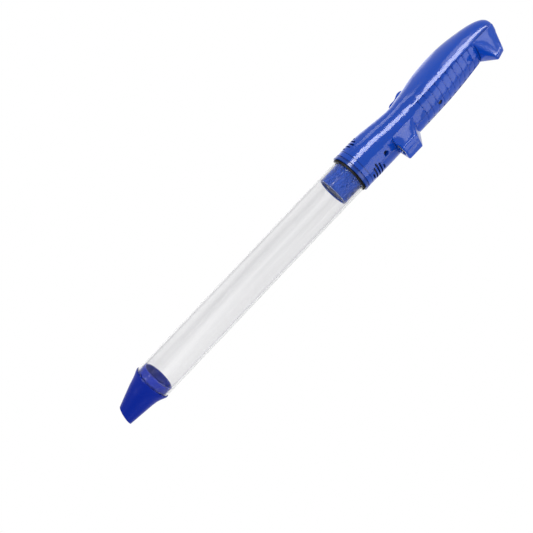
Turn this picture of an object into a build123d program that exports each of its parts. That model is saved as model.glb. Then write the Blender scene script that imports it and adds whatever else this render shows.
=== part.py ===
from build123d import *
import math
import os

os.makedirs("parts", exist_ok=True)

# The object is a hand-held vacuum catcher for insects: a clear tube with a nozzle on its front
# end, pushed onto the round socket of a handle that holds a fan, a motor, a battery and a lamp.
# X runs along the tool from the nozzle to the handle's end, Z is up, and the object rests on the
# lump and the hook under its handle. All lengths are in millimetres.

# Driving sizes
tube_outer_r = 22.5
tube_wall = 2.0
tube_length = 320.0
nozzle_reach = 51.5
seal_thickness = 2.9
handle_length = 228.0
body_r = 25.0
shell_wall = 2.2
axis_height = 44.2
slide_gap = 0.25
fit_gap = 0.05
part_gap = 0.3
overrun = 3.0

overall_length = nozzle_reach + tube_length + seal_thickness + handle_length
mouth_x = -overall_length / 2
tube_front_x = mouth_x + nozzle_reach
tube_rear_x = tube_front_x + tube_length
collar_x = tube_rear_x + seal_thickness
handle_end_x = collar_x + handle_length
tube_bore_r = tube_outer_r - tube_wall

tool_axis = Axis((0, 0, axis_height), (1, 0, 0))


def across(x):
    """A plane square to the tool at x, with its own axes along +Y and +Z."""
    return Plane(origin=(x, 0, axis_height), x_dir=(0, 1, 0), z_dir=(1, 0, 0))


def beside(y=0):
    """An upright plane along the tool, with its own axes along +X and +Z."""
    return Plane(origin=(0, y, axis_height), x_dir=(1, 0, 0), z_dir=(0, -1, 0))


def level(z=0):
    """A level plane at a height above the tool's axis, with its own axes along +X and +Y."""
    return Plane(origin=(0, 0, axis_height + z), x_dir=(1, 0, 0), z_dir=(0, 0, 1))


# Nozzle: an eccentric cone that runs out to a flange, with a slanted mouth and a plug that is
# pushed into the tube. It can be turned on the tube, and is turned to one side here.
nozzle_turn = 70.0
nozzle_wall = 1.8
lip_r = 10.2
lip_drop = 4.75
waist_back = 32.4
waist_r = 17.5
waist_drop = 0.4
flare_back = 39.4
flare_r = 19.1
flare_rear_back = 43.9
flare_rear_r = 20.6
flange_r = 23.3
flange_thickness = 1.6
mouth_tilt = 15.0
plug_length = 9.6

turn = math.radians(nozzle_turn)
nozzle_up = (0, -math.sin(turn), math.cos(turn))
nozzle_side = (0, math.cos(turn), math.sin(turn))


def nozzle_across(back, rise=0):
    """A plane square to the nozzle at a distance behind its lip, moved along its own up."""
    return Plane(
        origin=(mouth_x + back, nozzle_up[1] * rise, axis_height + nozzle_up[2] * rise),
        x_dir=nozzle_side,
        z_dir=(1, 0, 0),
    )


def nozzle_beside():
    """The nozzle's own middle plane, with its axes along +X and along the nozzle's up."""
    return Plane(
        origin=(mouth_x, 0, axis_height),
        x_dir=(1, 0, 0),
        z_dir=tuple(-part for part in nozzle_side),
    )


cone_slope = (waist_r - lip_r) / waist_back
drop_slope = (waist_drop - lip_drop) / waist_back
flange_back = nozzle_reach - flange_thickness
plug_r = tube_bore_r - slide_gap


def cone_radius(back):
    return lip_r + cone_slope * back


def cone_drop(back):
    return lip_drop + drop_slope * back


def nozzle_form(rings):
    """A body of cones through circles given as distance behind the lip, drop and radius."""
    with BuildPart() as form:
        for back, drop, radius in rings:
            with BuildSketch(nozzle_across(back, -drop)):
                Circle(radius)
        loft(ruled=True)
    return form.part


nozzle_outside = nozzle_form([
    (-overrun, cone_drop(-overrun), cone_radius(-overrun)),
    (waist_back, waist_drop, waist_r),
    (flare_back, 0, flare_r),
    (flare_rear_back, 0, flare_rear_r),
    (flange_back, 0, flange_r),
])
nozzle_inside = nozzle_form([
    (-overrun, cone_drop(-overrun), cone_radius(-overrun) - nozzle_wall),
    (waist_back, waist_drop, waist_r - nozzle_wall),
    (flare_back, 0, flare_r - nozzle_wall),
    (nozzle_reach, 0, plug_r - nozzle_wall),
])

# Trap flap: a disc hinged on a pin behind a ring seat in the nozzle. The air pulls it open, and
# it falls shut behind the insect.
seat_back = 20.4
seat_thickness = 1.6
seat_hole_r = 9.2
flap_r = 10.2
flap_thickness = 1.2
flap_pin_r = 0.8
flap_barrel_r = 1.5
flap_barrel_half = 4.0
lug_thickness = 1.6
lug_length = 3.6
lug_height = 2.7
hinge_rise = 9.2

seat_rear_back = seat_back + seat_thickness
seat_drop = cone_drop(seat_rear_back)
seat_r = cone_radius(seat_back) - nozzle_wall / 2
flap_front_back = seat_rear_back + part_gap
hinge_back = flap_front_back + flap_thickness + flap_barrel_r / 3
lug_middle = flap_barrel_half + part_gap + lug_thickness / 2
pin_half = flap_barrel_half + part_gap + lug_thickness

with BuildPart() as nozzle:
    add(nozzle_outside)
    with BuildSketch(nozzle_across(flange_back)):
        Circle(flange_r)
    extrude(amount=flange_thickness)
    with BuildSketch(nozzle_across(nozzle_reach)):
        Circle(plug_r)
    extrude(amount=plug_length)
    add(nozzle_inside, mode=Mode.SUBTRACT)
    with BuildSketch(nozzle_across(nozzle_reach)):
        Circle(plug_r - nozzle_wall)
    extrude(amount=plug_length, mode=Mode.SUBTRACT)
    with BuildSketch(nozzle_across(seat_back, -seat_drop)):
        Circle(seat_r)
        Circle(seat_hole_r, mode=Mode.SUBTRACT)
    extrude(amount=seat_thickness)
    with BuildSketch(nozzle_across(seat_rear_back)):
        with Locations((lug_middle, hinge_rise), (-lug_middle, hinge_rise)):
            Rectangle(lug_thickness, lug_height)
    extrude(amount=lug_length)
    with BuildSketch(nozzle_beside()):
        with Locations((hinge_back, hinge_rise)):
            Circle(flap_pin_r + fit_gap)
    extrude(amount=pin_half + fit_gap, both=True, mode=Mode.SUBTRACT)
    lip_point = (0, -lip_drop - lip_r)
    mouth_rise = 2 * (lip_r + lip_drop)
    with BuildSketch(nozzle_beside()):
        Polygon(
            lip_point,
            (mouth_rise * math.tan(math.radians(mouth_tilt)), mouth_rise + lip_point[1]),
            (-2 * overrun, mouth_rise + lip_point[1]),
            (-2 * overrun, lip_point[1] - overrun),
            (-overrun * math.tan(math.radians(mouth_tilt)), lip_point[1] - overrun),
            align=None,
        )
    extrude(amount=tube_outer_r, both=True, mode=Mode.SUBTRACT)
nozzle.part.label = "nozzle"
export_step(nozzle.part, "parts/nozzle.step")

with BuildPart() as trap_flap:
    with BuildSketch(nozzle_across(flap_front_back, -seat_drop)):
        Circle(flap_r)
    extrude(amount=flap_thickness)
    with BuildSketch(nozzle_beside()):
        with Locations((hinge_back, hinge_rise)):
            Circle(flap_barrel_r)
    extrude(amount=flap_barrel_half, both=True)
    with BuildSketch(nozzle_beside()):
        with Locations((hinge_back, hinge_rise)):
            Circle(flap_pin_r + fit_gap)
    extrude(amount=flap_barrel_half, both=True, mode=Mode.SUBTRACT)
trap_flap.part.label = "trap_flap"
export_step(trap_flap.part, "parts/trap_flap.step")

with BuildPart() as flap_pin:
    with BuildSketch(nozzle_beside()):
        with Locations((hinge_back, hinge_rise)):
            Circle(flap_pin_r)
    extrude(amount=pin_half, both=True)
flap_pin.part.label = "flap_pin"
export_step(flap_pin.part, "parts/flap_pin.step")

# Collecting tube: one clear straight tube.
with BuildPart() as collecting_tube:
    with BuildSketch(across(tube_front_x)):
        Circle(tube_outer_r)
        Circle(tube_bore_r, mode=Mode.SUBTRACT)
    extrude(amount=tube_length)
collecting_tube.part.label = "collecting_tube"
export_step(collecting_tube.part, "parts/collecting_tube.step")

# Tube socket: one round moulding with the plug that goes into the tube, a collar, and an inner
# flange with the fan's inlet that the two shells hold behind their front lip.
socket_plug_length = 28.8
socket_plug_r = 18.85
socket_wall = 2.0
collar_r = 25.3
collar_thickness = 2.8
neck_r = 23.5
neck_length = 2.0
socket_tail_r = 20.6
shell_lip_length = 2.6
socket_flange_thickness = 2.0
inlet_r = 12.5
pip_r = 1.1
pip_rows = 2
pip_pitch = 9.0
pip_setback = 6.75
pip_angles = (70.0, 110.0, 250.0, 290.0)

shell_front_x = collar_x + collar_thickness + neck_length
socket_flange_x = shell_front_x + shell_lip_length
socket_front_x = collar_x - socket_plug_length
socket_bore_r = socket_plug_r - socket_wall
shell_bore_r = body_r - shell_wall
socket_flange_r = shell_bore_r - part_gap
pip_reach = tube_bore_r - slide_gap

with BuildPart() as tube_socket:
    with BuildSketch(beside()):
        Polygon(
            (socket_front_x, socket_bore_r),
            (socket_front_x, socket_plug_r),
            (collar_x, socket_plug_r),
            (collar_x, collar_r),
            (collar_x + collar_thickness, collar_r),
            (collar_x + collar_thickness, neck_r),
            (shell_front_x, neck_r),
            (shell_front_x, socket_tail_r),
            (socket_flange_x, socket_tail_r),
            (socket_flange_x, socket_flange_r),
            (socket_flange_x + socket_flange_thickness, socket_flange_r),
            (socket_flange_x + socket_flange_thickness, inlet_r),
            (socket_flange_x, inlet_r),
            (socket_flange_x - socket_wall, socket_bore_r),
            align=None,
        )
    revolve(axis=tool_axis)
    for row in range(pip_rows):
        pip_x = collar_x - pip_setback - pip_pitch * row
        with BuildSketch(across(pip_x - pip_r)):
            for angle in pip_angles:
                with PolarLocations(pip_reach - pip_r, 1, start_angle=angle):
                    Circle(pip_r)
        extrude(amount=2 * pip_r)
tube_socket.part.label = "tube_socket"
export_step(tube_socket.part, "parts/tube_socket.step")

# Tube seal: a soft black ring on the socket, between the tube's end and the collar.
seal_r = 24.4
with BuildPart() as tube_seal:
    with BuildSketch(across(tube_rear_x)):
        Circle(seal_r)
        Circle(socket_plug_r + fit_gap, mode=Mode.SUBTRACT)
    extrude(amount=seal_thickness)
tube_seal.part.label = "tube_seal"
export_step(tube_seal.part, "parts/tube_seal.step")

# Insect screen: a flat grille in the plug's mouth that keeps the catch out of the fan.
screen_recess = 1.5
screen_thickness = 1.6
screen_hole_r = 1.7
screen_pitch_r = 2.1
screen_across = 7
screen_field_r = 15.2
with BuildPart() as insect_screen:
    with BuildSketch(across(socket_front_x + screen_recess)):
        Circle(socket_bore_r - fit_gap)
        with HexLocations(screen_pitch_r, screen_across, screen_across) as screen_places:
            field = [
                place for place in screen_places.local_locations
                if place.position.length < screen_field_r
            ]
        with Locations(*[(place.position.X, place.position.Y) for place in field]):
            RegularPolygon(screen_hole_r, 6, mode=Mode.SUBTRACT)
    extrude(amount=screen_thickness)
insect_screen.part.label = "insect_screen"
export_step(insect_screen.part, "parts/insect_screen.step")

# Handle: two hollow shells that meet on the upright middle plane. Their outside is one form
# through rounded sections, from the round front to the domed end, with a lump under the front
# that holds the lamp, a hooked end, and a panel of finger ribs between them.
# Each section: place along the body, then half width, crown, keel as shares of the body's
# radius, and how square the lower half is.
section_shares = (
    (0.000, 1.000, 1.000, 1.000, 2.00),
    (0.095, 0.995, 0.960, 1.000, 2.05),
    (0.155, 0.970, 0.850, 1.000, 2.15),
    (0.210, 0.935, 0.730, 0.995, 2.30),
    (0.265, 0.905, 0.610, 0.990, 2.40),
    (0.320, 0.890, 0.560, 0.985, 2.50),
    (0.385, 0.892, 0.720, 0.975, 2.50),
    (0.455, 0.895, 0.930, 0.955, 2.50),
    (0.520, 0.905, 1.130, 0.930, 2.45),
    (0.590, 0.915, 1.250, 0.900, 2.40),
    (0.660, 0.915, 1.305, 0.855, 2.30),
    (0.730, 0.897, 1.285, 0.800, 2.20),
    (0.795, 0.865, 1.200, 0.745, 2.10),
    (0.855, 0.815, 1.060, 0.700, 2.05),
    (0.905, 0.760, 0.915, 0.655, 2.00),
    (0.945, 0.690, 0.750, 0.600, 2.00),
    (0.975, 0.590, 0.570, 0.510, 2.00),
    (1.000, 0.220, 0.180, 0.180, 2.00),
)
crown_squareness_share = 2.0
outline_steps = 12
band_length = 6.5
rib_depth = 1.3
rib_inset = 0.35

body_front_x = shell_front_x + band_length
body_length = handle_end_x - body_front_x


def section_at(x):
    """Half width, crown, keel and squareness of the handle's section at x."""
    along = min(max((x - body_front_x) / body_length, 0), 1)
    last = len(section_shares) - 1
    row = max(i for i in range(last) if section_shares[i][0] <= along or i == 0)
    before = section_shares[max(row - 1, 0)]
    start = section_shares[row]
    end = section_shares[row + 1]
    after = section_shares[min(row + 2, last)]
    step = end[0] - start[0]
    part = (along - start[0]) / step
    values = []
    for i in range(1, 5):
        slope_start = (end[i] - before[i]) / (end[0] - before[0]) * step
        slope_end = (after[i] - start[i]) / (after[0] - start[0]) * step
        values.append(
            start[i] * (2 * part**3 - 3 * part**2 + 1)
            + slope_start * (part**3 - 2 * part**2 + part)
            + end[i] * (3 * part**2 - 2 * part**3)
            + slope_end * (part**3 - part**2)
        )
    return values[0] * body_r, values[1] * body_r, values[2] * body_r, values[3]


def section_radius(x, angle, inset=0, keel_inset=0):
    """Distance from the tool's axis to the section's outline, at an angle above level."""
    half_width, crown, keel, squareness = section_at(x)
    across_part = abs(math.cos(angle)) / (half_width - inset)
    if math.sin(angle) >= 0:
        power = crown_squareness_share
        upright_part = abs(math.sin(angle)) / (crown - inset)
    else:
        power = squareness
        upright_part = abs(math.sin(angle)) / (keel - inset - keel_inset)
    return (across_part**power + upright_part**power) ** (-1 / power)


def section_points(x, angles, inset=0, keel_inset=0):
    points = []
    for angle in angles:
        radius = section_radius(x, angle, inset, keel_inset)
        points.append((radius * math.cos(angle), radius * math.sin(angle)))
    return points


def surface_half_width(x, height, inset=0):
    """Half width of the handle at x, at a height above the tool's axis."""
    half_width, crown, keel, squareness = section_at(x)
    if height >= 0:
        power = crown_squareness_share
        share = height / (crown - inset)
    else:
        power = squareness
        share = -height / (keel - inset)
    return (half_width - inset) * (1 - share**power) ** (1 / power)


full_turn = [2 * math.pi * i / outline_steps for i in range(outline_steps)]


def handle_form(places, inset=0, ribs_front_x=None):
    """A smooth body through the handle's sections at the places given along X."""
    with BuildPart() as form:
        for x in places:
            keel_inset = rib_depth if ribs_front_x is not None and x > ribs_front_x else 0
            with BuildSketch(across(x)):
                with BuildLine():
                    Spline(*section_points(x, full_turn, inset, keel_inset), periodic=True)
                make_face()
        loft()
    return form.part


# Finger ribs: ten grooves across a panel that spans the handle's underside.
rib_count = 10
rib_pitch = 8.83
first_groove_setback = 102.4
panel_front_setback = 94.0
panel_rear_setback = 188.5
panel_half_angle = 45.5
panel_lap = 1.0
panel_lap_angle = 1.5
panel_steps = 6
groove_half_share = 0.16

first_groove_x = collar_x + first_groove_setback
panel_front_x = collar_x + panel_front_setback
panel_rear_x = collar_x + panel_rear_setback
panel_spread = panel_half_angle + panel_lap_angle

panel_angles = [
    math.radians(-90 - panel_spread + 2 * panel_spread * i / panel_steps)
    for i in range(panel_steps + 1)
]
rib_places = [(panel_front_x - panel_lap, rib_inset)]
for rib in range(rib_count):
    groove_x = first_groove_x + rib * rib_pitch
    rib_places.append((groove_x - groove_half_share * rib_pitch, rib_inset + rib_depth / 4))
    rib_places.append((groove_x, rib_inset + rib_depth))
    rib_places.append((groove_x + groove_half_share * rib_pitch, rib_inset + rib_depth / 4))
    rib_places.append((groove_x + rib_pitch / 2, rib_inset))
rib_places.append((panel_rear_x + panel_lap, rib_inset))

with BuildPart() as rib_panel:
    for x, inset in rib_places:
        with BuildSketch(across(x)):
            edge = section_points(x, panel_angles, inset)
            with BuildLine():
                Spline(*edge)
                Polyline(edge[-1], (0, 0), edge[0])
            make_face()
    loft(ruled=True)

# Lump: the finger stop under the handle's front, with the lamp's round pocket in its front face.
lump_setback = 50.4
lump_tip_length = 20.0
lump_tip_half = 9.8
lump_root_setback = 54.0
lump_root_length = 37.0
lump_root_half = 12.9
lump_root_depth = 16.0
lump_edge_r = 2.0
lump_front_x = collar_x + lump_setback

# Hook: the pommel at the handle's end, a wedge that narrows down to a blunt tip.
hook_root_end_gap = 6.0
hook_root_length = 31.0
hook_root_half = 14.0
hook_root_depth = 14.0
hook_tip_end_gap = 22.4
hook_tip_length = 14.0
hook_tip_half = 3.2
hook_tip_tilt = 19.0
hook_edge_r = 2.2
hook_root_x = handle_end_x - hook_root_end_gap - hook_root_length / 2
tip_slope = math.radians(hook_tip_tilt)
hook_tip_plane = Plane(
    origin=(handle_end_x - hook_tip_end_gap - hook_tip_length, 0, 0),
    x_dir=(math.cos(tip_slope), 0, math.sin(tip_slope)),
    z_dir=(-math.sin(tip_slope), 0, math.cos(tip_slope)),
)

section_places = [shell_front_x] + [body_front_x + row[0] * body_length for row in section_shares]

with BuildPart() as outside:
    add(handle_form(section_places))
    with BuildSketch(across(panel_front_x)):
        reach = body_r + overrun
        spread = reach * math.tan(math.radians(panel_half_angle))
        Polygon((0, 0), (spread, -reach), (-spread, -reach), align=None)
    extrude(amount=panel_rear_x - panel_front_x, mode=Mode.SUBTRACT)
    add(rib_panel.part)
with BuildPart() as lump:
    with BuildSketch(level(-lump_root_depth)):
        with Locations((collar_x + lump_root_setback + lump_root_length / 2, 0)):
            Rectangle(lump_root_length, 2 * lump_root_half)
    with BuildSketch(level(-axis_height)):
        with Locations((lump_front_x + lump_tip_length / 2, 0)):
            Rectangle(lump_tip_length, 2 * lump_tip_half)
    loft()
    fillet(lump.edges().sort_by(Axis.Z)[:-4], lump_edge_r)
with BuildPart() as hook:
    with BuildSketch(level(-hook_root_depth)):
        with Locations((hook_root_x, 0)):
            Rectangle(hook_root_length, 2 * hook_root_half)
    with BuildSketch(hook_tip_plane):
        with Locations((hook_tip_length / 2, 0)):
            Rectangle(hook_tip_length, 2 * hook_tip_half)
    loft()
    fillet(hook.edges().sort_by(Axis.Z)[:-4], hook_edge_r)
with BuildPart() as handle_outside:
    add(outside.part)
    add(lump.part)
    add(hook.part)

# The hollow follows every other section, and lies deeper under the whole keel, clear of the ribs.
inside_places = [socket_flange_x] + section_places[1:-1:2]
handle_inside = handle_form(inside_places, shell_wall, lump_front_x)

# Thumb slider's deck: a flat sloping seat in the crown, with a slot over the switch.
deck_front_setback = 78.0
deck_rear_setback = 113.5
deck_sink = 2.4
deck_half_width = 13.0
slider_travel = 5.0
slider_neck_length = 7.0
slider_neck_half = 3.2

deck_front = (
    collar_x + deck_front_setback,
    section_at(collar_x + deck_front_setback)[1] - deck_sink,
)
deck_rear = (
    collar_x + deck_rear_setback,
    section_at(collar_x + deck_rear_setback)[1] - deck_sink,
)
deck_length = math.dist(deck_front, deck_rear)
deck_slope = math.atan2(deck_rear[1] - deck_front[1], deck_rear[0] - deck_front[0])
slot_length = slider_neck_length + slider_travel + 2 * part_gap
slot_half = slider_neck_half + part_gap


def deck_plane(rise=0):
    """A plane along the deck, centred on it, raised above its surface."""
    middle_x = (deck_front[0] + deck_rear[0]) / 2
    middle_z = (deck_front[1] + deck_rear[1]) / 2
    lean_x = -math.sin(deck_slope)
    lean_z = math.cos(deck_slope)
    return Plane(
        origin=(middle_x + lean_x * rise, 0, axis_height + middle_z + lean_z * rise),
        x_dir=(math.cos(deck_slope), 0, math.sin(deck_slope)),
        z_dir=(lean_x, 0, lean_z),
    )


# Lamp pocket in the lump.
pocket_r = 7.2
pocket_depth = 15.0
pocket_drop = 33.6
wire_hole_r = 2.0

# Screws: four close the shells from the right, and two come up through the underside.
shell_screw_places = ((33.0, 17.5), (78.0, -17.5), (120.0, 17.0), (203.0, 2.0))
shell_screw_r = 1.2
shell_screw_head_r = 2.6
shell_screw_head_height = 1.8
shell_screw_seat = 6.0
shell_screw_reach = 9.0
boss_r = 3.4
screw_points = [(collar_x + along, height) for along, height in shell_screw_places]

under_screw_r = 1.1
under_screw_head_r = 2.4
under_screw_head_height = 1.8
well_floor = 2.4
front_well_setback = 39.0
front_well_side = -4.6
rear_well_setback = 123.0
rear_well_side = 3.7
front_well_r = 3.1
rear_well_r = 2.6
well_wall = 0.9
front_foot_depth = 16.6
rear_foot_depth = 17.2
front_well = (collar_x + front_well_setback, front_well_side)
rear_well = (collar_x + rear_well_setback, rear_well_side)
wells = (
    (front_well, front_well_r, front_foot_depth),
    (rear_well, rear_well_r, rear_foot_depth),
)

# Vents: three round clusters of slots that let the fan's air out behind the collar.
vent_setback = 22.0
vent_pitch = 3.95
vent_width = 2.0
vent_start = 14.0
vent_lengths = (9.0, 21.0, 26.0, 21.0, 9.0)
vent_angles = (150.0, -72.0, 39.0)
band_groove_setback = 9.8
band_groove_width = 0.7
band_groove_depth = 0.5

# Battery door: a window in the right shell.
door_front_setback = 128.0
door_rear_setback = 182.0
door_bottom = -10.0
door_top = 18.0
door_gap = 0.7
door_front_x = collar_x + door_front_setback
door_length = door_rear_setback - door_front_setback


def door_window(grow=0):
    """The window's outline, made larger or smaller all round."""
    with BuildSketch(beside()) as window:
        with Locations((door_front_x + door_length / 2, (door_top + door_bottom) / 2)):
            Rectangle(door_length + 2 * grow, door_top - door_bottom + 2 * grow)
    return window.sketch


# What fills the handle's hollow again: the deck, the screws' bosses and the feet over the wells.
with BuildPart() as fillings:
    with BuildSketch(deck_plane(-shell_wall)):
        Rectangle(deck_length + 2 * shell_wall, 2 * deck_half_width)
    extrude(amount=body_r)
    for x, height in screw_points:
        with BuildSketch(beside()):
            with Locations((x, height)):
                Circle(boss_r)
        extrude(amount=body_r, both=True)
    for place, hole_r, foot_depth in wells:
        with BuildSketch(level(-foot_depth)):
            with Locations(place):
                Circle(hole_r + well_wall)
        extrude(amount=-body_r)

# What is cut through the walls: the seat over the deck, the slot, the mouth, the lamp's pocket, the
# wells, the screws' holes and the vents.
with BuildPart() as cuts:
    with BuildSketch(deck_plane()):
        Rectangle(deck_length, 2 * deck_half_width)
    extrude(amount=body_r)
    with BuildSketch(deck_plane()):
        Rectangle(slot_length, 2 * slot_half)
    extrude(amount=-shell_wall - overrun)
    with BuildSketch(across(shell_front_x - overrun)):
        Circle(socket_tail_r + fit_gap)
    extrude(amount=shell_lip_length + 2 * overrun)
    with BuildSketch(across(collar_x + band_groove_setback)):
        Circle(body_r + overrun)
        Circle(body_r - band_groove_depth, mode=Mode.SUBTRACT)
    extrude(amount=band_groove_width)
    with BuildSketch(across(lump_front_x - overrun)):
        with Locations((0, -pocket_drop)):
            Circle(pocket_r)
    extrude(amount=overrun + pocket_depth)
    with BuildSketch(level(-lump_root_depth)):
        with Locations((lump_front_x + pocket_depth - wire_hole_r, 0)):
            Circle(wire_hole_r)
    extrude(amount=lump_root_depth - pocket_drop)
    for place, hole_r, foot_depth in wells:
        with BuildSketch(level(-foot_depth - well_floor)):
            with Locations(place):
                Circle(hole_r)
        extrude(amount=-body_r)
        with BuildSketch(level(-foot_depth + fit_gap)):
            with Locations(place):
                Circle(under_screw_r + fit_gap)
        extrude(amount=-body_r)
    for x, height in screw_points:
        with BuildSketch(beside()):
            with Locations((x, height)):
                Circle(shell_screw_r + fit_gap)
        extrude(amount=shell_screw_reach + fit_gap, both=True)
        with BuildSketch(beside(shell_screw_seat)):
            with Locations((x, height)):
                Circle(shell_screw_head_r + part_gap)
        extrude(amount=-body_r)
    for angle in vent_angles:
        facing = math.radians(angle)
        vent_plane = Plane(
            origin=(collar_x + vent_setback, 0, axis_height),
            x_dir=(1, 0, 0),
            z_dir=(0, math.cos(facing), math.sin(facing)),
        )
        with BuildSketch(vent_plane.offset(vent_start)):
            for i, slot in enumerate(vent_lengths):
                middle = (len(vent_lengths) - 1) / 2
                with Locations(((i - middle) * vent_pitch, 0)):
                    SlotOverall(slot, vent_width, rotation=90)
        extrude(amount=body_r)

with BuildPart() as hollow:
    add(handle_inside)
    add(fillings.part, mode=Mode.SUBTRACT)
    add(cuts.part)

with BuildPart() as left_shell:
    add(handle_outside.part)
    split(bisect_by=Plane.XZ, keep=Keep.TOP)
    add(hollow.part, mode=Mode.SUBTRACT)
left_shell.part.label = "left_shell"
export_step(left_shell.part, "parts/left_shell.step")

with BuildPart() as right_shell:
    add(handle_outside.part)
    split(bisect_by=Plane.XZ, keep=Keep.BOTTOM)
    add(hollow.part, mode=Mode.SUBTRACT)
    extrude(door_window(), amount=-body_r, mode=Mode.SUBTRACT)
right_shell.part.label = "right_shell"
export_step(right_shell.part, "parts/right_shell.step")

with BuildPart() as battery_door:
    extrude(door_window(-door_gap), amount=-body_r)
    add(outside.part, mode=Mode.INTERSECT)
    add(handle_inside, mode=Mode.SUBTRACT)
battery_door.part.label = "battery_door"
export_step(battery_door.part, "parts/battery_door.step")

# Screws: the four that close the shells, and the two under the handle, each a set in one file.
under_screw_reach = 6.8
with BuildPart() as shell_screws:
    for x, height in screw_points:
        with BuildSketch(beside(shell_screw_seat)):
            with Locations((x, height)):
                Circle(shell_screw_head_r)
        extrude(amount=-shell_screw_head_height)
        with BuildSketch(beside(shell_screw_seat)):
            with Locations((x, height)):
                Circle(shell_screw_r)
        extrude(amount=shell_screw_seat + shell_screw_reach)
shell_screws.part.label = "shell_screws"
export_step(shell_screws.part, "parts/shell_screws.step")

with BuildPart() as underside_screws:
    for place, hole_r, foot_depth in wells:
        with BuildSketch(level(-foot_depth - well_floor)):
            with Locations(place):
                Circle(under_screw_head_r)
        extrude(amount=-under_screw_head_height)
        with BuildSketch(level(-foot_depth - well_floor)):
            with Locations(place):
                Circle(under_screw_r)
        extrude(amount=under_screw_reach)
underside_screws.part.label = "underside_screws"
export_step(underside_screws.part, "parts/underside_screws.step")

# Fan and motor: the impeller draws air through the socket's inlet and throws it out to the vents.
# The motor hangs on a bracket that the front screw under the handle holds.
fan_gap = 0.5
press_gap = 0.01
shaft_r = 1.0
hub_r = 5.0
hub_length = 6.2
backplate_r = 19.0
backplate_thickness = 1.0
blade_count = 9
blade_root_r = 6.0
blade_tip_r = 18.6
blade_thickness = 1.2
blade_sweep = 38.0
blade_length = 4.8
bracket_disc_gap = 0.6
bracket_disc_r = shell_bore_r - bracket_disc_gap
bracket_thickness = 2.4
air_ring_inner_r = 13.4
air_ring_outer_r = 19.6
spoke_count = 6
spoke_width = 4.0
can_r = 12.1
can_wall = 1.2
can_length = 30.5
can_front = 1.5
can_boss_r = 3.0
can_boss_length = 1.5
cap_thickness = 2.0
motor_screw_r = 1.0
motor_screw_head_r = 1.9
motor_screw_spread = 8.0
arm_half_width = 9.0
arm_rear_setback = 45.0
arm_top = -9.0
armature_r = 8.5
armature_length = 14.0
armature_front_gap = 6.0
pole_count = 3
pole_slot = 2.4
commutator_r = 3.2
commutator_length = 5.0

fan_front_x = socket_flange_x + socket_flange_thickness + fan_gap
fan_rear_x = fan_front_x + hub_length
bracket_x = fan_rear_x + fan_gap
can_x = bracket_x + bracket_thickness
can_rear_x = can_x + can_length
cap_x = can_rear_x - cap_thickness
countersink = motor_screw_head_r - motor_screw_r
screw_sides = [(motor_screw_spread, 0), (-motor_screw_spread, 0)]

with BuildPart() as impeller:
    with BuildSketch(across(fan_front_x)):
        Circle(hub_r)
        Circle(shaft_r + press_gap, mode=Mode.SUBTRACT)
    extrude(amount=hub_length)
    with BuildSketch(across(fan_rear_x - backplate_thickness)):
        Circle(backplate_r)
        Circle(hub_r, mode=Mode.SUBTRACT)
    extrude(amount=backplate_thickness)
    with BuildSketch(across(fan_rear_x - backplate_thickness - blade_length)):
        for blade in range(blade_count):
            start = 2 * math.pi * blade / blade_count
            sweep = math.radians(blade_sweep)
            middle_r = (blade_root_r + blade_tip_r) / 2
            curve = [
                (blade_root_r * math.cos(start), blade_root_r * math.sin(start)),
                (middle_r * math.cos(start + sweep / 3), middle_r * math.sin(start + sweep / 3)),
                (blade_tip_r * math.cos(start + sweep), blade_tip_r * math.sin(start + sweep)),
            ]
            with BuildLine():
                blade_line = Spline(*curve)
            trace(blade_line, line_width=blade_thickness)
    extrude(amount=blade_length)
    with BuildSketch(across(fan_rear_x - backplate_thickness - blade_length)):
        Circle(blade_root_r + blade_thickness / 2)
        Circle(hub_r - blade_thickness, mode=Mode.SUBTRACT)
    extrude(amount=blade_length)
impeller.part.label = "impeller"
export_step(impeller.part, "parts/impeller.step")

with BuildPart() as motor_shaft:
    with BuildSketch(across(fan_front_x)):
        Circle(shaft_r)
    extrude(amount=cap_x + cap_thickness - fan_front_x)
motor_shaft.part.label = "motor_shaft"
export_step(motor_shaft.part, "parts/motor_shaft.step")

with BuildPart() as motor_armature:
    with BuildSketch(across(can_x + armature_front_gap)):
        Circle(armature_r)
        with PolarLocations(armature_r, pole_count):
            Rectangle(armature_r, pole_slot, mode=Mode.SUBTRACT)
    extrude(amount=armature_length)
    with BuildSketch(across(can_x + armature_front_gap + armature_length)):
        Circle(commutator_r)
    extrude(amount=commutator_length)
    with BuildSketch(across(can_x + armature_front_gap)):
        Circle(shaft_r + press_gap)
    extrude(amount=armature_length + commutator_length, mode=Mode.SUBTRACT)
motor_armature.part.label = "motor_armature"
export_step(motor_armature.part, "parts/motor_armature.step")

with BuildPart() as motor_can:
    with BuildSketch(across(can_x)):
        Circle(can_r)
    extrude(amount=can_length)
    with BuildSketch(across(can_x - can_boss_length)):
        Circle(can_boss_r)
    extrude(amount=can_boss_length)
    with BuildSketch(across(can_x + can_front)):
        Circle(can_r - can_wall)
    extrude(amount=can_length, mode=Mode.SUBTRACT)
    with BuildSketch(across(can_x - can_boss_length)):
        Circle(shaft_r + fit_gap)
        with Locations(*screw_sides):
            Circle(motor_screw_r + fit_gap)
    extrude(amount=can_boss_length + can_front, mode=Mode.SUBTRACT)
motor_can.part.label = "motor_can"
export_step(motor_can.part, "parts/motor_can.step")

with BuildPart() as motor_end_cap:
    with BuildSketch(across(cap_x)):
        Circle(can_r - can_wall - fit_gap)
        Circle(shaft_r + fit_gap, mode=Mode.SUBTRACT)
    extrude(amount=cap_thickness)
    with BuildSketch(across(can_rear_x)):
        with Locations(*screw_sides):
            Rectangle(can_wall / 2, can_boss_r)
    extrude(amount=can_boss_r)
motor_end_cap.part.label = "motor_end_cap"
export_step(motor_end_cap.part, "parts/motor_end_cap.step")

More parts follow.
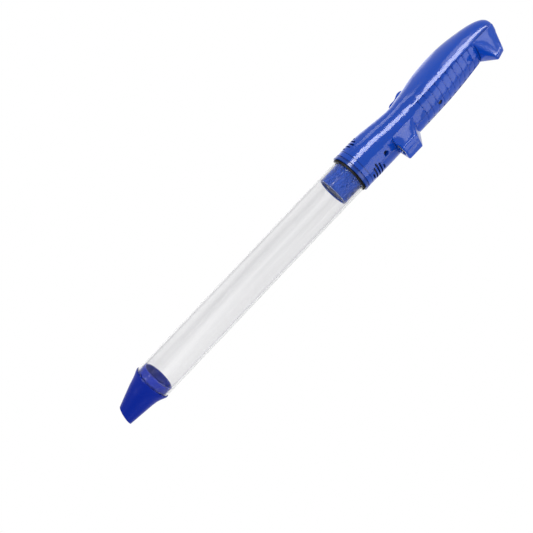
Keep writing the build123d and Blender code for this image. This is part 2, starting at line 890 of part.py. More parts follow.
with BuildPart() as motor_bracket:
    with BuildSketch(across(bracket_x)):
        Circle(bracket_disc_r)
        Circle(air_ring_outer_r, mode=Mode.SUBTRACT)
        Circle(air_ring_inner_r)
        with PolarLocations((air_ring_inner_r + air_ring_outer_r) / 2, spoke_count):
            Rectangle(air_ring_outer_r - air_ring_inner_r + overrun, spoke_width)
        Circle(can_boss_r + fit_gap, mode=Mode.SUBTRACT)
    extrude(amount=bracket_thickness)
    with BuildSketch(level(-front_foot_depth)):
        arm_length = collar_x + arm_rear_setback - bracket_x
        with Locations((bracket_x + arm_length / 2, 0)):
            Rectangle(arm_length, 2 * arm_half_width)
    extrude(amount=front_foot_depth + arm_top)
    with BuildSketch(across(can_x)):
        Circle(can_r + fit_gap)
    extrude(amount=can_length, mode=Mode.SUBTRACT)
    with BuildSketch(across(bracket_x)):
        with Locations(*screw_sides):
            Circle(motor_screw_r + fit_gap)
    extrude(amount=bracket_thickness, mode=Mode.SUBTRACT)
    for y, rise in screw_sides:
        with BuildSketch(across(bracket_x)):
            with Locations((y, rise)):
                Circle(motor_screw_head_r + fit_gap)
        with BuildSketch(across(bracket_x + countersink)):
            with Locations((y, rise)):
                Circle(motor_screw_r + fit_gap)
        loft(mode=Mode.SUBTRACT)
    with BuildSketch(level(-front_foot_depth)):
        with Locations(front_well):
            Circle(under_screw_r + fit_gap)
    extrude(amount=front_foot_depth + arm_top, mode=Mode.SUBTRACT)
motor_bracket.part.label = "motor_bracket"
export_step(motor_bracket.part, "parts/motor_bracket.step")

with BuildPart() as motor_screws:
    for y, rise in screw_sides:
        with BuildSketch(across(bracket_x)):
            with Locations((y, rise)):
                Circle(motor_screw_head_r)
        with BuildSketch(across(bracket_x + countersink)):
            with Locations((y, rise)):
                Circle(motor_screw_r)
        loft()
        with BuildSketch(across(bracket_x + countersink)):
            with Locations((y, rise)):
                Circle(motor_screw_r)
        extrude(amount=bracket_thickness + can_front)
motor_screws.part.label = "motor_screws"
export_step(motor_screws.part, "parts/motor_screws.step")

# Thumb slider and the slide switch under the deck. The slider is pushed towards the nozzle.
slider_half_width = 10.6
slider_front_setback = 84.3
slider_stations = (0.0, 1.9, 5.9, 12.2, 17.2, 21.7, 25.7, 27.0)
slider_height_shares = (0.568, 0.720, 0.812, 0.816, 0.916, 0.996, 0.964, 0.880)
switch_plate_length = 20.0
switch_plate_width = 10.4
switch_plate_thickness = 0.8
switch_length = 14.0
switch_width = 7.6
switch_depth = 5.5
lever_width = 2.0
lever_depth = 4.4
neck_middle = slider_travel / 2

with BuildPart() as thumb_slider:
    with BuildSketch(beside()):
        with BuildLine():
            top = [
                (collar_x + slider_front_setback + along, share * body_r)
                for along, share in zip(slider_stations, slider_height_shares)
            ]
            Spline(*top)
            Line(top[-1], top[0])
        make_face()
    extrude(amount=slider_half_width, both=True)
    with BuildSketch(deck_plane(part_gap)):
        Rectangle(2 * deck_length, 2 * deck_half_width)
    extrude(amount=-body_r, mode=Mode.SUBTRACT)
    with BuildSketch(deck_plane(part_gap + overrun)):
        with Locations((neck_middle, 0)):
            Rectangle(slider_neck_length, 2 * slider_neck_half)
    extrude(amount=-overrun - shell_wall)
thumb_slider.part.label = "thumb_slider"
export_step(thumb_slider.part, "parts/thumb_slider.step")

with BuildPart() as switch_lever:
    with BuildSketch(deck_plane(part_gap - shell_wall)):
        with Locations((neck_middle, 0)):
            Rectangle(lever_width, lever_width)
    extrude(amount=-lever_depth)
switch_lever.part.label = "switch_lever"
export_step(switch_lever.part, "parts/switch_lever.step")

with BuildPart() as slide_switch:
    with BuildSketch(deck_plane(-shell_wall)):
        Rectangle(switch_plate_length, switch_plate_width)
    extrude(amount=-switch_plate_thickness)
    with BuildSketch(deck_plane(-shell_wall)):
        Rectangle(switch_length, switch_width)
    extrude(amount=-switch_depth)
    with BuildSketch(deck_plane(-shell_wall)):
        Rectangle(lever_width + slider_travel + 2 * part_gap, lever_width + 2 * part_gap)
    extrude(amount=-lever_depth, mode=Mode.SUBTRACT)
slide_switch.part.label = "slide_switch"
export_step(slide_switch.part, "parts/slide_switch.step")

# Lamp in the lump's pocket: a clear lens, a reflector, the lamp itself and its small board.
lens_setback = 3.0
lens_thickness = 1.5
reflector_length = 7.5
reflector_mouth_r = 6.2
reflector_rim = 1.0
reflector_rear_r = 4.2
lamp_r = 2.5
lamp_length = 5.0
lamp_board_thickness = 1.6

lens_x = lump_front_x + lens_setback
reflector_x = lens_x + lens_thickness
board_x = reflector_x + reflector_length
lamp_seat_r = pocket_r - fit_gap
lamp_axis = Axis((0, 0, axis_height - pocket_drop), (1, 0, 0))

with BuildPart() as lamp_lens:
    with BuildSketch(across(lens_x)):
        with Locations((0, -pocket_drop)):
            Circle(lamp_seat_r)
    extrude(amount=lens_thickness)
lamp_lens.part.label = "lamp_lens"
export_step(lamp_lens.part, "parts/lamp_lens.step")

with BuildPart() as lamp_reflector:
    with BuildSketch(beside()):
        Polygon(
            (reflector_x, reflector_mouth_r - pocket_drop),
            (reflector_x, lamp_seat_r - pocket_drop),
            (reflector_x + reflector_rim, lamp_seat_r - pocket_drop),
            (board_x, reflector_rear_r - pocket_drop),
            (board_x, lamp_r + fit_gap - pocket_drop),
            align=None,
        )
    revolve(axis=lamp_axis)
lamp_reflector.part.label = "lamp_reflector"
export_step(lamp_reflector.part, "parts/lamp_reflector.step")

with BuildPart() as lamp_led:
    with BuildSketch(beside()):
        with BuildLine():
            tip = (board_x - lamp_length, -pocket_drop)
            shoulder = (board_x - lamp_length + lamp_r, lamp_r - pocket_drop)
            RadiusArc(tip, shoulder, lamp_r)
            Polyline(shoulder, (board_x, lamp_r - pocket_drop), (board_x, -pocket_drop), tip)
        make_face()
    revolve(axis=lamp_axis)
lamp_led.part.label = "lamp_led"
export_step(lamp_led.part, "parts/lamp_led.step")

with BuildPart() as lamp_board:
    with BuildSketch(across(board_x)):
        with Locations((0, -pocket_drop)):
            Circle(lamp_seat_r)
    extrude(amount=lamp_board_thickness)
lamp_board.part.label = "lamp_board"
export_step(lamp_board.part, "parts/lamp_board.step")

# Battery: a block with two studs, its snap connector, and a cradle that opens to the right. The
# rear screw under the handle holds the cradle by its foot.
battery_setback = 134.0
battery_length = 46.4
battery_width = 17.5
battery_height = 26.5
battery_rise = 4.0
battery_corner_r = 2.0
stud_r = 2.9
stud_height = 2.0
stud_spread = 6.35
snap_width = 13.0
snap_height = 25.0
snap_thickness = 3.4
cradle_gap = 0.15
cradle_wall = 1.3
foot_length = 11.0
foot_half_width = 4.0

battery_x = collar_x + battery_setback
battery_bottom = battery_rise - battery_height / 2
snap_x = battery_x - stud_height - snap_thickness
cradle_front_x = snap_x - cradle_gap - cradle_wall
cradle_rear_x = battery_x + battery_length + cradle_gap + cradle_wall
cradle_length = cradle_rear_x - cradle_front_x
cradle_left = battery_width / 2 + cradle_gap + cradle_wall

with BuildPart() as battery:
    with BuildSketch(across(battery_x)):
        with Locations((0, battery_rise)):
            RectangleRounded(battery_width, battery_height, battery_corner_r)
    extrude(amount=battery_length)
    with BuildSketch(across(battery_x)):
        with Locations((0, battery_rise - stud_spread), (0, battery_rise + stud_spread)):
            Circle(stud_r)
    extrude(amount=-stud_height)
battery.part.label = "battery"
export_step(battery.part, "parts/battery.step")

with BuildPart() as battery_snap:
    with BuildSketch(across(snap_x)):
        with Locations((0, battery_rise)):
            RectangleRounded(snap_width, snap_height, battery_corner_r)
    extrude(amount=snap_thickness)
battery_snap.part.label = "battery_snap"
export_step(battery_snap.part, "parts/battery_snap.step")

with BuildPart() as battery_cradle:
    with BuildSketch(across(cradle_front_x)):
        with Locations((0, battery_rise)):
            Rectangle(2 * cradle_left, battery_height + 2 * cradle_wall + cradle_gap)
    extrude(amount=cradle_length)
    with BuildSketch(across(cradle_front_x + cradle_wall)):
        with Locations((cradle_wall, battery_rise)):
            Rectangle(2 * cradle_left, battery_height)
    extrude(amount=cradle_length - 2 * cradle_wall, mode=Mode.SUBTRACT)
    with BuildSketch(level(-rear_foot_depth)):
        with Locations(rear_well):
            Rectangle(foot_length, 2 * foot_half_width)
    extrude(amount=rear_foot_depth + battery_bottom)
    with BuildSketch(level(-rear_foot_depth)):
        with Locations(rear_well):
            Circle(under_screw_r + fit_gap)
    extrude(amount=under_screw_reach, mode=Mode.SUBTRACT)
battery_cradle.part.label = "battery_cradle"
export_step(battery_cradle.part, "parts/battery_cradle.step")
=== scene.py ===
import math

import bmesh
import bpy
from mathutils import Matrix, Vector


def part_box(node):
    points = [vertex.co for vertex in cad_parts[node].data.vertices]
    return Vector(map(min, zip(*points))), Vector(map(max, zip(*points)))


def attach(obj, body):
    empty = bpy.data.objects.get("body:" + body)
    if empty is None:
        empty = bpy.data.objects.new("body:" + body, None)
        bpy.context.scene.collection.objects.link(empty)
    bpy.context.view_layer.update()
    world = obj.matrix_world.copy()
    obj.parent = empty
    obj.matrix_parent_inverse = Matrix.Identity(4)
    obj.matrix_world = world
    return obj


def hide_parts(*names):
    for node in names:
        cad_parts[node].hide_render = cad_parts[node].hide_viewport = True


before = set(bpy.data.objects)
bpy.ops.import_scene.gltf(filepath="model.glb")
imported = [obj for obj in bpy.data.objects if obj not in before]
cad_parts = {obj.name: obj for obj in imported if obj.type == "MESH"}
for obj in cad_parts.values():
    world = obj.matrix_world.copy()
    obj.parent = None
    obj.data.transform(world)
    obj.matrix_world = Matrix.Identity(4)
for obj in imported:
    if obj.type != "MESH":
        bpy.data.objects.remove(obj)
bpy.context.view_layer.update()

# Handle shells: two halves moulded in glossy blue plastic and screwed together along the upright
# middle plane. The moulding keeps a faint ripple, painted shade darkens its crevices, and the
# closed joint shows as a fine dark line.
BODY_BLUE = (0.0035, 0.073, 0.54, 1.0)
# Painted shade: crevices are darkened towards this black, as far as the occlusion test reaches.
CREVICE_SHADE_BLACK = (0.0, 0.0, 0.0, 1.0)
CREVICE_SHADE_REACH = 0.003
RIPPLE = 0.00003
SHELL_RIPPLE = 0.00001
JOINT_BLUE = (0.0, 0.002, 0.02, 1.0)
JOINT_HALF = 0.00018
JOINT_SHADE = 0.15
MERGE_GAP = 0.000004
REAL_EDGE = 32.0
EVENING_PASSES = 9


def ranged(tree, value, before, after=(0.0, 1.0)):
    """A value carried over from one range to another, and held at its ends."""
    node = tree.nodes.new("ShaderNodeMapRange")
    node.inputs["From Min"].default_value = before[0]
    node.inputs["From Max"].default_value = before[1]
    node.inputs["To Min"].default_value = after[0]
    node.inputs["To Max"].default_value = after[1]
    tree.links.new(value, node.inputs["Value"])
    return node.outputs["Result"]


def mixed(tree, factor, first, second):
    """A colour between two, each of which is fixed or comes out of another node."""
    node = tree.nodes.new("ShaderNodeMix")
    node.data_type = "RGBA"
    tree.links.new(factor, node.inputs["Factor"])
    for name, colour in (("A", first), ("B", second)):
        if isinstance(colour, bpy.types.NodeSocket):
            tree.links.new(colour, node.inputs[name])
        else:
            node.inputs[name].default_value = colour
    return node.outputs["Result"]


def uneven(tree, scale, detail, low=0.0, high=1.0, stretch=(1.0, 1.0, 1.0)):
    """An unevenness over the piece, which wanders between two values."""
    place = tree.nodes.new("ShaderNodeTexCoord")
    stretched = tree.nodes.new("ShaderNodeMapping")
    stretched.inputs["Scale"].default_value = stretch
    noise = tree.nodes.new("ShaderNodeTexNoise")
    noise.inputs["Scale"].default_value = scale
    noise.inputs["Detail"].default_value = detail
    tree.links.new(place.outputs["Object"], stretched.inputs["Vector"])
    tree.links.new(stretched.outputs["Vector"], noise.inputs["Vector"])
    return ranged(tree, noise.outputs["Fac"], before=(0.3, 0.7), after=(low, high))


def new_finish(name):
    """A new material, with its node tree and its shader."""
    material = bpy.data.materials.new(name)
    material.use_nodes = True
    return material, material.node_tree, material.node_tree.nodes["Principled BSDF"]


def moulded(name, colour, shade, gloss, shine=0.22, ripple=RIPPLE):
    """A moulded plastic: its colour drifts, painted shade darkens its crevices, and its face has a
    ripple.
    """
    material, tree, shader = new_finish(name)
    shader.inputs["Specular IOR Level"].default_value = shine
    shaded = tuple(part * shade for part in colour[:3]) + (1.0,)
    drifting = mixed(tree, uneven(tree, scale=18.0, detail=3.0), colour, shaded)
    # Painted shade: an occlusion test darkens the colour towards black where the surface is shut in,
    # in crevices, grooves and wells.
    shade_test = tree.nodes.new("ShaderNodeAmbientOcclusion")
    shade_test.samples = 8
    shade_test.only_local = True
    shade_test.inputs["Distance"].default_value = CREVICE_SHADE_REACH
    unshaded_share = ranged(tree, shade_test.outputs["AO"], before=(0.35, 0.85), after=(0.25, 1.0))
    crevice_shaded = mixed(tree, unshaded_share, CREVICE_SHADE_BLACK, drifting)
    tree.links.new(crevice_shaded, shader.inputs["Base Color"])
    roughness = uneven(tree, scale=40.0, detail=1.0, low=gloss * 0.9, high=gloss * 1.15)
    tree.links.new(roughness, shader.inputs["Roughness"])
    bump = tree.nodes.new("ShaderNodeBump")
    bump.inputs["Strength"].default_value = 0.25
    bump.inputs["Distance"].default_value = ripple
    tree.links.new(uneven(tree, scale=90.0, detail=1.0), bump.inputs["Height"])
    tree.links.new(bump.outputs["Normal"], shader.inputs["Normal"])
    return material


def add_joint_line(material):
    """Darkens the colour on the middle plane, where the two halves close on each other."""
    tree = material.node_tree
    place = tree.nodes.new("ShaderNodeTexCoord")
    parts = tree.nodes.new("ShaderNodeSeparateXYZ")
    away = tree.nodes.new("ShaderNodeMath")
    away.operation = "ABSOLUTE"
    tree.links.new(place.outputs["Object"], parts.inputs["Vector"])
    tree.links.new(parts.outputs["Y"], away.inputs[0])
    fading = (JOINT_HALF / 2, JOINT_HALF)
    beside = ranged(tree, away.outputs["Value"], before=fading, after=(JOINT_SHADE, 1.0))
    base_colour = tree.nodes["Principled BSDF"].inputs["Base Color"]
    plain = base_colour.links[0].from_socket
    tree.links.new(mixed(tree, beside, JOINT_BLUE, plain), base_colour)


def soften(form, sharp):
    """Shades a form smooth, apart from the edges that turn by more than an angle."""
    for face in form.faces:
        face.smooth = True
    for edge in form.edges:
        if len(edge.link_faces) == 2 and edge.calc_face_angle() > math.radians(sharp):
            edge.smooth = False


def smooth_copy(node):
    """The node's own solid with its loose triangles joined, smooth but for its real edges."""
    form = bmesh.new()
    form.from_mesh(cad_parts[node].data)
    bmesh.ops.remove_doubles(form, verts=form.verts, dist=MERGE_GAP)
    soften(form, REAL_EDGE)
    form.verts.index_update()
    free = [all(edge.smooth for edge in vert.link_edges) for vert in form.verts]
    near = [[edge.other_vert(vert).index for edge in vert.link_edges] for vert in form.verts]
    facing = [vert.normal.copy() for vert in form.verts]
    count = len(facing)
    for _ in range(EVENING_PASSES):
        summed = [sum((facing[i] for i in near[v] if free[i]), facing[v]) for v in range(count)]
        facing = [summed[v].normalized() if free[v] else facing[v] for v in range(count)]
    mesh_data = bpy.data.meshes.new(node + "_mesh")
    form.to_mesh(mesh_data)
    form.free()
    corners = [tuple(corner.vector) for corner in mesh_data.corner_normals]
    mesh_data.normals_split_custom_set([
        tuple(facing[loop.vertex_index]) if free[loop.vertex_index] else corners[loop.index]
        for loop in mesh_data.loops
    ])
    return mesh_data


def finished(name, mesh_data, material, body, node):
    """A new object for a finished mesh, riding on its body and standing for its node."""
    piece = bpy.data.objects.new(name, mesh_data)
    bpy.context.collection.objects.link(piece)
    mesh_data.materials.clear()
    mesh_data.materials.append(material)
    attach(piece, body)
    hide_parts(node)
    return piece


body_blue = moulded("body_blue", BODY_BLUE, shade=0.88, gloss=0.13, ripple=SHELL_RIPPLE)
add_joint_line(body_blue)
for side in ("left_shell", "right_shell"):
    shell = finished(side + "_skin", smooth_copy(side), body_blue, "handle", side)

# Battery door: a panel of the shells' plastic from a mould of its own, let into the right shell.
# It swings out about its front edge.
door_blue = moulded("door_blue", BODY_BLUE, shade=0.88, gloss=0.12)
door_mesh = smooth_copy("battery_door")
door = finished("battery_door_skin", door_mesh, door_blue, "door", "battery_door")

# Thumb slider: a saddle between two raised ends, moulded in the shells' blue with a duller face.
# It slides along the deck on top of the handle and carries the switch's lever with it.
slider_blue = moulded("slider_blue", BODY_BLUE, shade=0.80, gloss=0.30, shine=0.06)
slider_mesh = smooth_copy("thumb_slider")
slider = finished("thumb_slider_skin", slider_mesh, slider_blue, "slider", "thumb_slider")

# Tube socket and its screen: a round moulding that the tube is pushed onto, a little darker than
# the shells that hold it, and a darker grille in the mouth of its plug.
SOCKET_BLUE = (0.003, 0.056, 0.400, 1.0)
SCREEN_BLUE = (0.002, 0.016, 0.110, 1.0)


def finish_node(node, material):
    """Gives a carried-over CAD node its material."""
    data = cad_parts[node].data
    data.materials.clear()
    data.materials.append(material)


socket_blue = moulded("socket_blue", SOCKET_BLUE, shade=0.82, gloss=0.16)
screen_blue = moulded("screen_blue", SCREEN_BLUE, shade=0.80, gloss=0.30)
socket_mesh = smooth_copy("tube_socket")
socket = finished("tube_socket_skin", socket_mesh, socket_blue, "handle", "tube_socket")
finish_node("insect_screen", screen_blue)

# Tube seal: a soft black ring on the socket's plug, held between the tube's end and the collar. It
# stands proud of the tube and lower than the collar.
SEAL_BLACK = (0.003, 0.003, 0.004, 1.0)
SEAL_INNER = 0.0189
SEAL_TRIM = 0.0010
SEAL_STEPS = 96
SEAL_ARC = 0.0007
ARC_STEPS = 4
RING_MERGE_GAP = 0.000002
RING_EDGE = 35.0
low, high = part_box("tube_seal")
axis_z = (low[2] + high[2]) / 2
seal_outer = (high[1] - low[1]) / 2 - SEAL_TRIM


def turned(name, outline, steps):
    """A ring turned about the tool's axis from a closed outline of (x, radius) points."""
    form = bmesh.new()
    loop = [form.verts.new((x, 0, axis_z + radius)) for x, radius in outline]
    edges = [form.edges.new((loop[i], loop[(i + 1) % len(loop)])) for i in range(len(loop))]
    bmesh.ops.spin(form, geom=loop + edges, cent=(0, 0, axis_z), axis=(1, 0, 0),
                   angle=2 * math.pi, steps=steps, use_merge=True)
    bmesh.ops.remove_doubles(form, verts=form.verts, dist=RING_MERGE_GAP)
    bmesh.ops.recalc_face_normals(form, faces=form.faces)
    soften(form, RING_EDGE)
    mesh_data = bpy.data.meshes.new(name)
    form.to_mesh(mesh_data)
    form.free()
    return mesh_data


def seal_arc(end, inward):
    """Points of the quarter circle at one end of the seal, from its top down to the end."""
    turns = [math.pi / 2 * i / ARC_STEPS for i in range(ARC_STEPS + 1)]
    return [
        (end + inward * SEAL_ARC * (1 - math.sin(turn)), seal_outer - SEAL_ARC * (1 - math.cos(turn)))
        for turn in turns
    ]


# The arcs should round the ring's outer edges, but both run the wrong way here. The outline crosses
# itself under each, so each end gets a small lip, and the faces outside the lips point inwards.
seal_outline = (
    [(low[0], SEAL_INNER)]
    + seal_arc(low[0], inward=1)
    + seal_arc(high[0], inward=-1)[::-1]
    + [(high[0], SEAL_INNER)]
)
seal_black = moulded("seal_black", SEAL_BLACK, shade=1.6, gloss=0.60, shine=0.08)
seal_mesh = turned("seal_mesh", seal_outline, SEAL_STEPS)
seal = finished("tube_seal_ring", seal_mesh, seal_black, "handle", "tube_seal")

# Collecting tube: clear plastic, drawn through a die and cut to length with slightly eased ends. It
# grips the socket's plug by friction. The die left faint grey streaks along it, and its wall is a
# little hazy, and greyer where it is seen edge on.
TUBE_WALL = 0.002
TUBE_STEPS = 512
EASE = 0.0004
STREAK_GREY = (0.80, 0.80, 0.81, 1.0)
STREAK_CLEAR = (0.96, 0.96, 0.965, 1.0)
EDGE_GREY = (0.62, 0.62, 0.64, 1.0)
DIM_GLINT = (0.15, 0.15, 0.15, 1.0)
low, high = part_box("collecting_tube")
tube_outer = (high[1] - low[1]) / 2
tube_inner = tube_outer - TUBE_WALL
tube_outline = [
    (low[0], tube_inner + EASE), (low[0], tube_outer - EASE), (low[0] + EASE, tube_outer),
    (high[0] - EASE, tube_outer), (high[0], tube_outer - EASE), (high[0], tube_inner + EASE),
    (high[0] - EASE, tube_inner), (low[0] + EASE, tube_inner),
]
clear_tube, tree, shader = new_finish("clear_tube")
shader.inputs["Transmission Weight"].default_value = 0.985
shader.inputs["IOR"].default_value = 1.25
shader.inputs["Specular Tint"].default_value = DIM_GLINT
streaks = uneven(tree, scale=75.0, detail=2.0, stretch=(0.03, 1.0, 1.0))
streaked = mixed(tree, streaks, STREAK_GREY, STREAK_CLEAR)
rim = tree.nodes.new("ShaderNodeLayerWeight")
rim.inputs["Blend"].default_value = 0.5
edge_on = ranged(tree, rim.outputs["Facing"], before=(0.45, 0.85))
tree.links.new(mixed(tree, edge_on, streaked, EDGE_GREY), shader.inputs["Base Color"])
haze = uneven(tree, scale=30.0, detail=3.0, low=0.015, high=0.05)
tree.links.new(haze, shader.inputs["Roughness"])
tube_mesh = turned("tube_mesh", tube_outline, TUBE_STEPS)
tube = finished("collecting_tube_wall", tube_mesh, clear_tube, "tube", "collecting_tube")

# Nozzle and trap flap: an eccentric cone whose plug goes into the tube's end, and a flap in its
# throat that opens inwards and springs shut. Both are moulded in a darker and duller blue than the
# shells.
NOZZLE_BLUE = (0.0008, 0.0200, 0.345, 1.0)
nozzle_blue = moulded("nozzle_blue", NOZZLE_BLUE, shade=0.85, gloss=0.26, shine=0.05)
nozzle = finished("nozzle_skin", smooth_copy("nozzle"), nozzle_blue, "nozzle", "nozzle")
flap = finished("trap_flap_skin", smooth_copy("trap_flap"), nozzle_blue, "flap", "trap_flap")

# Pin and screws: the flap turns on a bright steel pin, and the motor's screws are bright steel too.
# The screws that close the shells and those in the recesses underneath are blackened.
BRIGHT_STEEL = (0.52, 0.52, 0.53, 1.0)
BLACKENED_STEEL = (0.022, 0.022, 0.026, 1.0)


def metal(name, colour, gloss):
    """A drawn or turned metal with a finely uneven polish."""
    material, tree, shader = new_finish(name)
    shader.inputs["Base Color"].default_value = colour
    shader.inputs["Metallic"].default_value = 1.0
    polish = uneven(tree, scale=220.0, detail=4.0, low=gloss * 0.7, high=gloss * 1.4)
    tree.links.new(polish, shader.inputs["Roughness"])
    return material


screw_steel = metal("screw_steel", BRIGHT_STEEL, gloss=0.3)
screw_black = metal("screw_black", BLACKENED_STEEL, gloss=0.45)
for node in ("flap_pin", "motor_screws"):
    finish_node(node, screw_steel)
for node in ("shell_screws", "underside_screws"):
    finish_node(node, screw_black)

# Fan and motor: a white moulded impeller on the steel shaft of a small can motor, whose end cap is
# moulded in the same white. A grey plastic bracket, seated in the shells, holds the motor.
FAN_WHITE = (0.72, 0.72, 0.69, 1.0)
BRACKET_GREY = (0.05, 0.052, 0.058, 1.0)
MOTOR_STEEL = (0.60, 0.60, 0.60, 1.0)
ARMATURE_COPPER = (0.33, 0.20, 0.11, 1.0)
fan_white = moulded("fan_white", FAN_WHITE, shade=0.9, gloss=0.4)
bracket_grey = moulded("bracket_grey", BRACKET_GREY, shade=0.8, gloss=0.5)
motor_steel = metal("motor_steel", MOTOR_STEEL, gloss=0.35)
for node in ("impeller", "motor_end_cap"):
    finish_node(node, fan_white)
for node in ("motor_shaft", "motor_can"):
    finish_node(node, motor_steel)
finish_node("motor_bracket", bracket_grey)
finish_node("motor_armature", metal("armature_dark", ARMATURE_COPPER, gloss=0.45))

# Switch and battery: a black slide switch, whose lever moves with the thumb slider, and a block
# battery with a black snap connector. The battery lies in a cradle moulded in the bracket's grey.
SWITCH_BLACK = (0.012, 0.012, 0.014, 1.0)
BATTERY_GREY = (0.035, 0.035, 0.04, 1.0)
switch_black = moulded("switch_black", SWITCH_BLACK, shade=1.5, gloss=0.45)
for node in ("slide_switch", "switch_lever", "battery_snap"):
    finish_node(node, switch_black)
finish_node("battery_cradle", bracket_grey)
finish_node("battery", moulded("battery_grey", BATTERY_GREY, shade=0.8, gloss=0.3))

# Lamp: a clear moulded lens in the lump's open front, over a dull metallised reflector. The lamp
# itself is clear too, and sits on a small green board.
LENS_CLEAR = (0.93, 0.95, 0.96, 1.0)
REFLECTOR_SILVER = (0.20, 0.20, 0.21, 1.0)
BOARD_GREEN = (0.008, 0.09, 0.02, 1.0)
clear_lens, tree, shader = new_finish("clear_lens")
shader.inputs["Base Color"].default_value = LENS_CLEAR
shader.inputs["Transmission Weight"].default_value = 1.0
shader.inputs["IOR"].default_value = 1.49
haze = uneven(tree, scale=90.0, detail=3.0, low=0.02, high=0.08)
tree.links.new(haze, shader.inputs["Roughness"])
for node in ("lamp_lens", "lamp_led"):
    finish_node(node, clear_lens)
finish_node("lamp_reflector", metal("reflector_silver", REFLECTOR_SILVER, gloss=0.5))
finish_node("lamp_board", moulded("board_green", BOARD_GREEN, shade=0.8, gloss=0.4))

# Floor: a pale matt table top just under the tool. Only a view from above shows it: it lets light
# pass, and the view from below too, because the photograph looks up at the tool.
FLOOR_SIZE = 6.0
FLOOR_DROP = 0.0002
FLOOR_PALE = (0.86, 0.86, 0.86, 1.0)
bpy.ops.mesh.primitive_plane_add(size=FLOOR_SIZE, location=(0, 0, -FLOOR_DROP))
floor = bpy.context.object
floor.name = "floor"
floor_white, tree, shader = new_finish("floor_white")
shader.inputs["Base Color"].default_value = FLOOR_PALE
shader.inputs["Roughness"].default_value = 0.7
shader.inputs["Specular IOR Level"].default_value = 0.0
facing_side = tree.nodes.new("ShaderNodeNewGeometry")
seen = tree.nodes.new("ShaderNodeLightPath")
from_above = tree.nodes.new("ShaderNodeMath")
from_above.operation = "SUBTRACT"
from_above.use_clamp = True
through = tree.nodes.new("ShaderNodeBsdfTransparent")
blend = tree.nodes.new("ShaderNodeMixShader")
tree.links.new(seen.outputs["Is Camera Ray"], from_above.inputs[0])
tree.links.new(facing_side.outputs["Backfacing"], from_above.inputs[1])
tree.links.new(from_above.outputs["Value"], blend.inputs["Fac"])
tree.links.new(through.outputs["BSDF"], blend.inputs[1])
tree.links.new(shader.outputs["BSDF"], blend.inputs[2])
tree.links.new(blend.outputs["Shader"], tree.nodes["Material Output"].inputs["Surface"])
floor.data.materials.append(floor_white)

# Camera: the photograph looks up at the tool from below its left side. The camera is turned on its
# own axis, so that the nozzle lies at the lower left and the hooked end at the upper right.
TARGET = Vector((-0.0672, 0.0025, 0.0419))
TOWARDS_CAMERA = Vector((0, -0.669, -0.743)).normalized()
ABOVE = Vector((0, -0.743, 0.669)).normalized()
ALONG = Vector((1, 0, 0))
ROLL = math.radians(46.5)
CAMERA_DISTANCE = 0.660
CAMERA_LENS = 39.6
NEAREST_SEEN = 0.01
eye = TARGET + TOWARDS_CAMERA * CAMERA_DISTANCE
right = ALONG * math.cos(ROLL) - ABOVE * math.sin(ROLL)
upward = ALONG * math.sin(ROLL) + ABOVE * math.cos(ROLL)
view = Matrix((right, upward, TOWARDS_CAMERA)).transposed().to_4x4()
view.translation = eye
camera_data = bpy.data.cameras.new("camera")
camera_data.lens = CAMERA_LENS
camera_data.clip_start = NEAREST_SEEN
camera = bpy.data.objects.new("camera", camera_data)
camera.matrix_world = view
bpy.context.collection.objects.link(camera)
bpy.context.scene.camera = camera

# Softboxes: a long narrow one at the tool's left draws the bright strip along the handle, a broad
# one underneath gives the lower side its sheen, and a soft one hangs overhead. The first two are
# each three lamps in one place, so that their edges fade.
AIM_HEIGHT = 0.044
SOFTBOX_LENGTH = 3.2
KEY_WIDTHS = (0.17, 0.26, 0.35)
KEY_POWER = 225.0
FILL_WIDTHS = (0.35, 0.65, 0.95)
FILL_POWER = 40.0


def place_lamp(name, data, pose, lights_matt):
    """Puts a lamp in its place, to show in gloss only or, where asked, to light matt faces too."""
    lamp = bpy.data.objects.new(name, data)
    lamp.matrix_world = pose
    lamp.visible_diffuse = lights_matt
    lamp.visible_transmission = False
    lamp.visible_camera = False
    bpy.context.collection.objects.link(lamp)


def softbox(name, lean, distance, width, length, power, middle, turn=0.0, lights_matt=False):
    """A soft lamp along the tool, leaning from the camera's direction towards the photo's top."""
    lean = math.radians(lean)
    towards = TOWARDS_CAMERA * math.cos(lean) + ABOVE * math.sin(lean)
    data = bpy.data.lights.new(name, "AREA")
    data.shape = "RECTANGLE"
    data.size = length
    data.size_y = width
    data.energy = power
    along = Matrix.Rotation(math.radians(turn), 3, towards) @ ALONG
    pose = Matrix((along, towards.cross(along), towards)).transposed().to_4x4()
    pose.translation = Vector((middle, 0, AIM_HEIGHT)) + towards * distance
    place_lamp(name, data, pose, lights_matt)


for width in KEY_WIDTHS:
    softbox("key_softbox", lean=31.0, distance=1.0, width=width, length=SOFTBOX_LENGTH,
            power=KEY_POWER * width, middle=0.6, turn=-10.0)
for width in FILL_WIDTHS:
    softbox("fill_softbox", lean=-49.0, distance=1.2, width=width, length=SOFTBOX_LENGTH,
            power=FILL_POWER * width, middle=0.5)
softbox("top_softbox", lean=150.0, distance=1.5, width=1.2, length=1.8,
        power=6.0, middle=0.05, lights_matt=True)

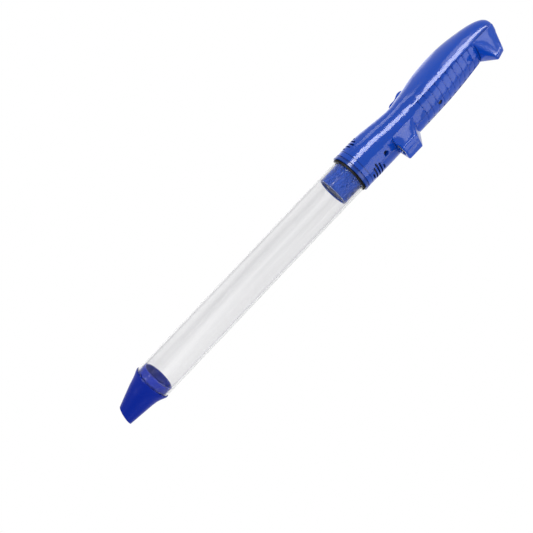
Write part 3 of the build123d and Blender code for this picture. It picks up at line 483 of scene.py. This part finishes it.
# Side lamps: three small lamps, set where the flats of the lump and the hook mirror them to the
# camera, so that those faces are lighter than the body behind them.
LUMP_SIDE = Vector((0.134, -0.011, 0.013))
LUMP_FOOT = Vector((0.134, 0.0, 0.0))
HOOK_SIDE = Vector((0.279, -0.009, 0.016))
SIDE_LAMP_SIZE = 0.11
SIDE_LAMP_DISTANCE = 0.35


def side_lamp(name, spot, draft, power):
    """A small lamp that the flat at a spot, leaning in from upright, mirrors to the camera."""
    draft = math.radians(draft)
    flat_facing = Vector((0, -math.cos(draft), -math.sin(draft)))
    away = (spot - eye).normalized().reflect(flat_facing)
    data = bpy.data.lights.new(name, "AREA")
    data.size = SIDE_LAMP_SIZE
    data.energy = power
    pose = away.to_track_quat("Z", "Y").to_matrix().to_4x4()
    pose.translation = spot + away * SIDE_LAMP_DISTANCE
    place_lamp(name, data, pose, lights_matt=False)


side_lamp("lump_lamp", LUMP_SIDE, draft=6.3, power=0.19)
side_lamp("lump_foot_lamp", LUMP_FOOT, draft=90.0, power=0.10)
side_lamp("hook_lamp", HOOK_SIDE, draft=19.7, power=0.19)

# Surroundings: an even white room. It is plain white to the camera, in gloss and through clear
# plastic, and the light that it gives to matt surfaces is a little dimmer.
ROOM_WHITE = (1.0, 1.0, 1.0, 1.0)
MATT_LEVEL = 0.85
WHITE_LEVEL = 1.0
world = bpy.data.worlds.new("studio")
bpy.context.scene.world = world
world.use_nodes = True
tree = world.node_tree
background = tree.nodes["Background"]
background.inputs["Color"].default_value = ROOM_WHITE
path = tree.nodes.new("ShaderNodeLightPath")
camera_or_gloss = tree.nodes.new("ShaderNodeMath")
camera_or_gloss.operation = "MAXIMUM"
plain_white = tree.nodes.new("ShaderNodeMath")
plain_white.operation = "MAXIMUM"
tree.links.new(path.outputs["Is Camera Ray"], camera_or_gloss.inputs[0])
tree.links.new(path.outputs["Is Glossy Ray"], camera_or_gloss.inputs[1])
tree.links.new(camera_or_gloss.outputs["Value"], plain_white.inputs[0])
tree.links.new(path.outputs["Is Transmission Ray"], plain_white.inputs[1])
levels = (MATT_LEVEL, WHITE_LEVEL)
level = ranged(tree, plain_white.outputs["Value"], before=(0.0, 1.0), after=levels)
tree.links.new(level, background.inputs["Strength"])

bpy.context.scene.view_settings.view_transform = "Standard"
